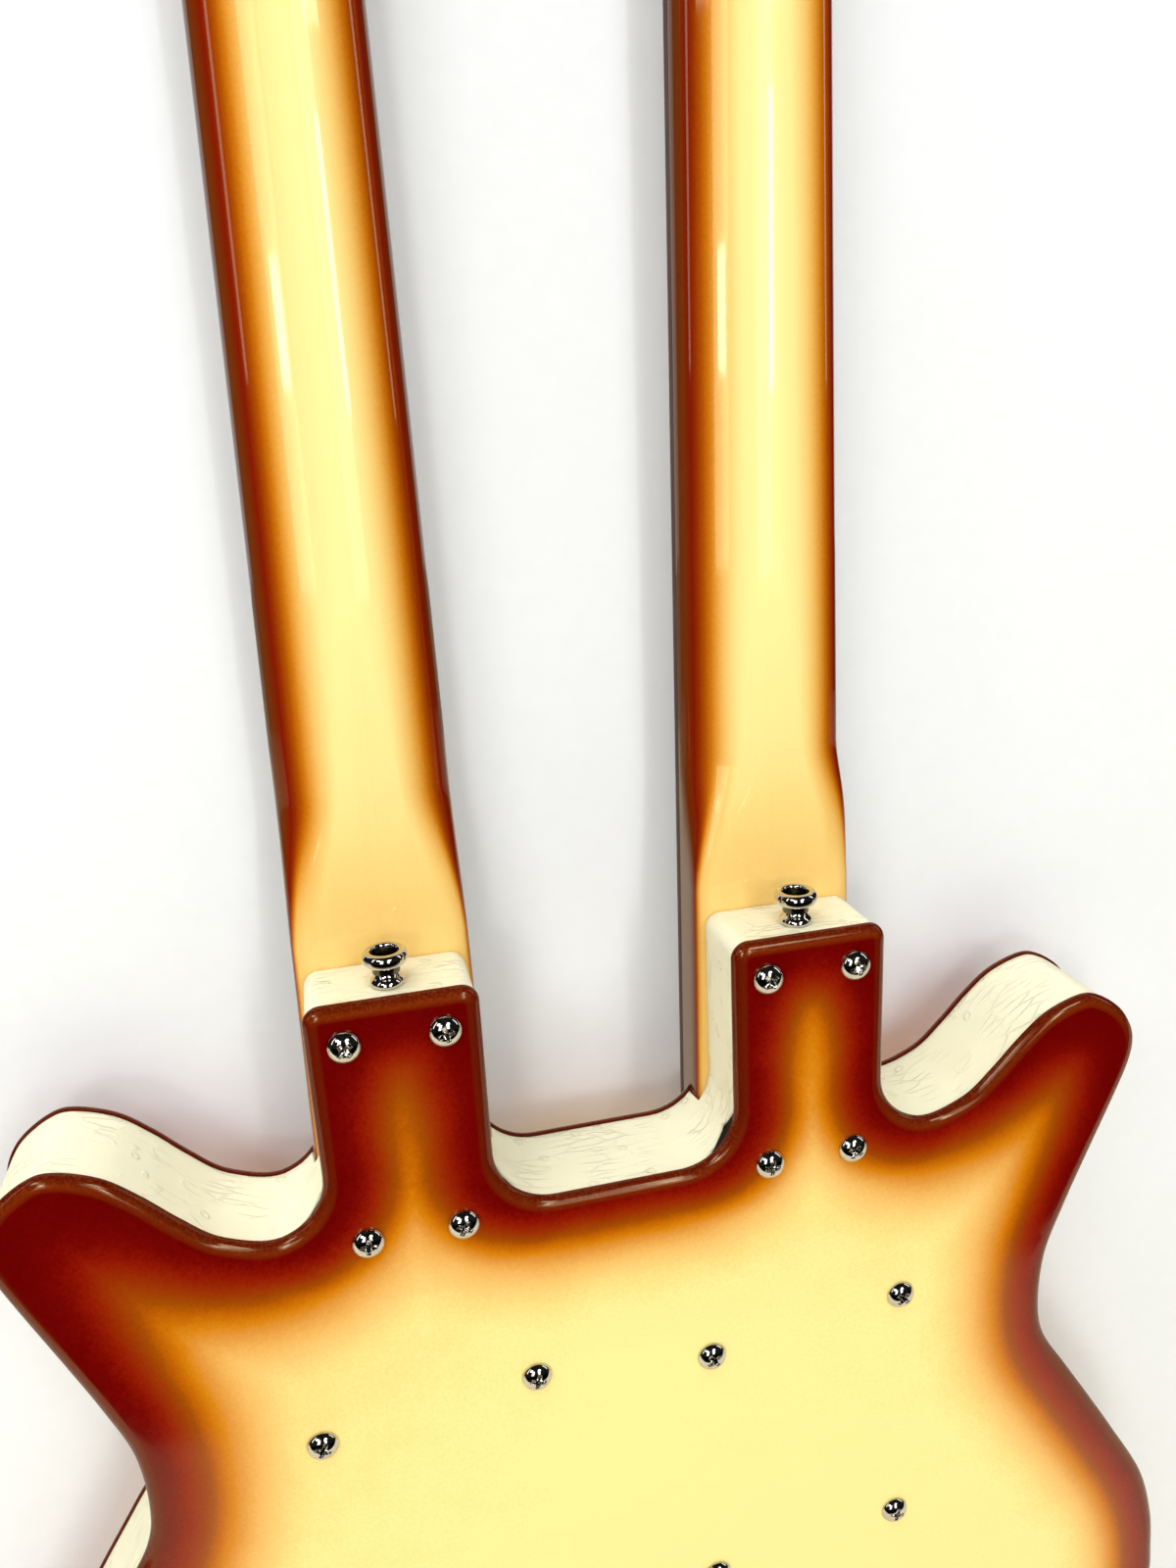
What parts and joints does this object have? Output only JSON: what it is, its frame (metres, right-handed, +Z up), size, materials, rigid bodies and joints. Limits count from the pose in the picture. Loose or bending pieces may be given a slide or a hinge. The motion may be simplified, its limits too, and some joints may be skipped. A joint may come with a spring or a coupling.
{
  "type": "double-neck electric guitar",
  "caption": "Semi-hollow electric guitar with two bolt-on necks, tube pickups, chrome strap buttons and a textured edge tape.",
  "frame": {"origin": "midway between the ends of the two neck tongues, at the middle of their thickness", "axes": "+Z up the necks towards the headstocks, -Y out of the back, +X towards the longer upper neck"},
  "size_m": [0.4378, 0.0671, 1.086],
  "materials": {
    "sunburst_finish": "gloss copper sunburst lacquer on hardboard",
    "core_wood": "raw light wood",
    "edge_vinyl": "cream vinyl tape with a hide texture",
    "neck_finish": "high gloss sunburst lacquer on maple",
    "dark_wood": "satin rosewood",
    "nut_bone": "satin",
    "bright_chrome": "polished",
    "nickel_metal": "polished nickel",
    "cream_plastic": "gloss"
  },
  "bodies": {
    "body": {"back_panel": "sunburst_finish", "front_panel": "sunburst_finish", "core_frame": "core_wood", "edge_tape": "edge_vinyl", "neck_lower": "neck_finish", "fingerboard_lower": "dark_wood", "nut_lower": "nut_bone", "bridge_lower": "nickel_metal", "saddle_lower": "dark_wood", "tuner_strip_lower": "nickel_metal", "neck_screw_lower_1": "bright_chrome", "neck_screw_lower_2": "bright_chrome", "neck_screw_lower_3": "bright_chrome", "neck_screw_lower_4": "bright_chrome", "neck_upper": "neck_finish", "fingerboard_upper": "dark_wood", "nut_upper": "nut_bone", "bridge_upper": "nickel_metal", "saddle_upper": "dark_wood", "tuner_strip_upper": "nickel_metal", "neck_screw_upper_1": "bright_chrome", "neck_screw_upper_2": "bright_chrome", "neck_screw_upper_3": "bright_chrome", "neck_screw_upper_4": "bright_chrome", "pickup_lower_neck": "bright_chrome", "pickup_lower_bridge": "bright_chrome", "pickup_upper_neck": "bright_chrome", "pickup_upper_bridge": "bright_chrome", "strap_button_lower": "bright_chrome", "strap_button_upper": "bright_chrome", "strap_button_tail": "bright_chrome", "output_jack": "nickel_metal"},
    "tuner_post_lower_1": {"tuner_post_lower_1": "nickel_metal"},
    "tuner_button_lower_1": {"tuner_button_lower_1": "cream_plastic"},
    "tuner_post_lower_2": {"tuner_post_lower_2": "nickel_metal"},
    "tuner_button_lower_2": {"tuner_button_lower_2": "cream_plastic"},
    "tuner_post_lower_3": {"tuner_post_lower_3": "nickel_metal"},
    "tuner_button_lower_3": {"tuner_button_lower_3": "cream_plastic"},
    "tuner_post_lower_4": {"tuner_post_lower_4": "nickel_metal"},
    "tuner_button_lower_4": {"tuner_button_lower_4": "cream_plastic"},
    "tuner_post_lower_5": {"tuner_post_lower_5": "nickel_metal"},
    "tuner_button_lower_5": {"tuner_button_lower_5": "cream_plastic"},
    "tuner_post_lower_6": {"tuner_post_lower_6": "nickel_metal"},
    "tuner_button_lower_6": {"tuner_button_lower_6": "cream_plastic"},
    "tuner_post_upper_1": {"tuner_post_upper_1": "nickel_metal"},
    "tuner_button_upper_1": {"tuner_button_upper_1": "cream_plastic"},
    "tuner_post_upper_2": {"tuner_post_upper_2": "nickel_metal"},
    "tuner_button_upper_2": {"tuner_button_upper_2": "cream_plastic"},
    "tuner_post_upper_3": {"tuner_post_upper_3": "nickel_metal"},
    "tuner_button_upper_3": {"tuner_button_upper_3": "cream_plastic"},
    "tuner_post_upper_4": {"tuner_post_upper_4": "nickel_metal"},
    "tuner_button_upper_4": {"tuner_button_upper_4": "cream_plastic"},
    "tuner_post_upper_5": {"tuner_post_upper_5": "nickel_metal"},
    "tuner_button_upper_5": {"tuner_button_upper_5": "cream_plastic"},
    "tuner_post_upper_6": {"tuner_post_upper_6": "nickel_metal"},
    "tuner_button_upper_6": {"tuner_button_upper_6": "cream_plastic"},
    "volume_knob": {"volume_knob": "cream_plastic"},
    "tone_knob": {"tone_knob": "cream_plastic"},
    "neck_switch": {"neck_switch": "nickel_metal"},
    "pickup_switch": {"pickup_switch": "nickel_metal"}
  },
  "joints": [
    {"name": "tuner_post_lower_1_turn", "type": "hinge", "parent": "body", "child": "tuner_post_lower_1", "pos_m": [-0.04331, 0.00917, 0.3798], "axis": [0, 1, 0], "continuous": true},
    {"name": "tuner_button_lower_1_turn", "type": "hinge", "parent": "body", "child": "tuner_button_lower_1", "pos_m": [-0.04331, 0.00917, 0.3798], "axis": [0.9575, 0, 0.2885], "continuous": true},
    {"name": "tuner_post_lower_2_turn", "type": "hinge", "parent": "body", "child": "tuner_post_lower_2", "pos_m": [-0.05076, 0.00917, 0.4044], "axis": [0, 1, 0], "continuous": true},
    {"name": "tuner_button_lower_2_turn", "type": "hinge", "parent": "body", "child": "tuner_button_lower_2", "pos_m": [-0.05076, 0.00917, 0.4044], "axis": [0.9575, 0, 0.2885], "continuous": true},
    {"name": "tuner_post_lower_3_turn", "type": "hinge", "parent": "body", "child": "tuner_post_lower_3", "pos_m": [-0.05821, 0.00917, 0.429], "axis": [0, 1, 0], "continuous": true},
    {"name": "tuner_button_lower_3_turn", "type": "hinge", "parent": "body", "child": "tuner_button_lower_3", "pos_m": [-0.05821, 0.00917, 0.429], "axis": [0.9575, 0, 0.2885], "continuous": true},
    {"name": "tuner_post_lower_4_turn", "type": "hinge", "parent": "body", "child": "tuner_post_lower_4", "pos_m": [-0.06564, 0.00917, 0.4536], "axis": [0, 1, 0], "continuous": true},
    {"name": "tuner_button_lower_4_turn", "type": "hinge", "parent": "body", "child": "tuner_button_lower_4", "pos_m": [-0.06564, 0.00917, 0.4536], "axis": [0.9575, 0, 0.2885], "continuous": true},
    {"name": "tuner_post_lower_5_turn", "type": "hinge", "parent": "body", "child": "tuner_post_lower_5", "pos_m": [-0.07301, 0.00917, 0.4782], "axis": [0, 1, 0], "continuous": true},
    {"name": "tuner_button_lower_5_turn", "type": "hinge", "parent": "body", "child": "tuner_button_lower_5", "pos_m": [-0.07301, 0.00917, 0.4782], "axis": [0.9575, 0, 0.2885], "continuous": true},
    {"name": "tuner_post_lower_6_turn", "type": "hinge", "parent": "body", "child": "tuner_post_lower_6", "pos_m": [-0.08038, 0.00917, 0.5028], "axis": [0, 1, 0], "continuous": true},
    {"name": "tuner_button_lower_6_turn", "type": "hinge", "parent": "body", "child": "tuner_button_lower_6", "pos_m": [-0.08038, 0.00917, 0.5028], "axis": [0.9575, 0, 0.2885], "continuous": true},
    {"name": "tuner_post_upper_1_turn", "type": "hinge", "parent": "body", "child": "tuner_post_upper_1", "pos_m": [0.08626, 0.00917, 0.50045], "axis": [0, 1, 0], "continuous": true},
    {"name": "tuner_button_upper_1_turn", "type": "hinge", "parent": "body", "child": "tuner_button_upper_1", "pos_m": [0.08626, 0.00917, 0.50045], "axis": [0.9641, 0, 0.2656], "continuous": true},
    {"name": "tuner_post_upper_2_turn", "type": "hinge", "parent": "body", "child": "tuner_post_upper_2", "pos_m": [0.07947, 0.00917, 0.52505], "axis": [0, 1, 0], "continuous": true},
    {"name": "tuner_button_upper_2_turn", "type": "hinge", "parent": "body", "child": "tuner_button_upper_2", "pos_m": [0.07947, 0.00917, 0.52505], "axis": [0.9641, 0, 0.2656], "continuous": true},
    {"name": "tuner_post_upper_3_turn", "type": "hinge", "parent": "body", "child": "tuner_post_upper_3", "pos_m": [0.07268, 0.00917, 0.54965], "axis": [0, 1, 0], "continuous": true},
    {"name": "tuner_button_upper_3_turn", "type": "hinge", "parent": "body", "child": "tuner_button_upper_3", "pos_m": [0.07268, 0.00917, 0.54965], "axis": [0.9641, 0, 0.2656], "continuous": true},
    {"name": "tuner_post_upper_4_turn", "type": "hinge", "parent": "body", "child": "tuner_post_upper_4", "pos_m": [0.06588, 0.00917, 0.57425], "axis": [0, 1, 0], "continuous": true},
    {"name": "tuner_button_upper_4_turn", "type": "hinge", "parent": "body", "child": "tuner_button_upper_4", "pos_m": [0.06588, 0.00917, 0.57425], "axis": [0.9641, 0, 0.2656], "continuous": true},
    {"name": "tuner_post_upper_5_turn", "type": "hinge", "parent": "body", "child": "tuner_post_upper_5", "pos_m": [0.05915, 0.00917, 0.59885], "axis": [0, 1, 0], "continuous": true},
    {"name": "tuner_button_upper_5_turn", "type": "hinge", "parent": "body", "child": "tuner_button_upper_5", "pos_m": [0.05915, 0.00917, 0.59885], "axis": [0.9641, 0, 0.2656], "continuous": true},
    {"name": "tuner_post_upper_6_turn", "type": "hinge", "parent": "body", "child": "tuner_post_upper_6", "pos_m": [0.05238, 0.00917, 0.62345], "axis": [0, 1, 0], "continuous": true},
    {"name": "tuner_button_upper_6_turn", "type": "hinge", "parent": "body", "child": "tuner_button_upper_6", "pos_m": [0.05238, 0.00917, 0.62345], "axis": [0.9641, 0, 0.2656], "continuous": true},
    {"name": "volume_knob_turn", "type": "hinge", "parent": "body", "child": "volume_knob", "pos_m": [-0.13235, 0.02785, -0.2697], "axis": [0, -1, 0], "range_deg": [-150, 150]},
    {"name": "tone_knob_turn", "type": "hinge", "parent": "body", "child": "tone_knob", "pos_m": [-0.13235, 0.02785, -0.30885], "axis": [0, -1, 0], "range_deg": [-150, 150]},
    {"name": "neck_switch_tilt", "type": "hinge", "parent": "body", "child": "neck_switch", "pos_m": [-0.17016, 0.02185, -0.28928], "axis": [1, 0, 0], "range_deg": [-13, 13]},
    {"name": "pickup_switch_tilt", "type": "hinge", "parent": "body", "child": "pickup_switch", "pos_m": [-0.13235, 0.02185, -0.348], "axis": [1, 0, 0], "range_deg": [-13, 13]}
  ],
  "couplings": [
    {"joint": "tuner_post_lower_1_turn", "follows": "tuner_button_lower_1_turn", "ratio": 0.071429},
    {"joint": "tuner_post_lower_2_turn", "follows": "tuner_button_lower_2_turn", "ratio": 0.071429},
    {"joint": "tuner_post_lower_3_turn", "follows": "tuner_button_lower_3_turn", "ratio": 0.071429},
    {"joint": "tuner_post_lower_4_turn", "follows": "tuner_button_lower_4_turn", "ratio": 0.071429},
    {"joint": "tuner_post_lower_5_turn", "follows": "tuner_button_lower_5_turn", "ratio": 0.071429},
    {"joint": "tuner_post_lower_6_turn", "follows": "tuner_button_lower_6_turn", "ratio": 0.071429},
    {"joint": "tuner_post_upper_1_turn", "follows": "tuner_button_upper_1_turn", "ratio": 0.071429},
    {"joint": "tuner_post_upper_2_turn", "follows": "tuner_button_upper_2_turn", "ratio": 0.071429},
    {"joint": "tuner_post_upper_3_turn", "follows": "tuner_button_upper_3_turn", "ratio": 0.071429},
    {"joint": "tuner_post_upper_4_turn", "follows": "tuner_button_upper_4_turn", "ratio": 0.071429},
    {"joint": "tuner_post_upper_5_turn", "follows": "tuner_button_upper_5_turn", "ratio": 0.071429},
    {"joint": "tuner_post_upper_6_turn", "follows": "tuner_button_upper_6_turn", "ratio": 0.071429}
  ]
}
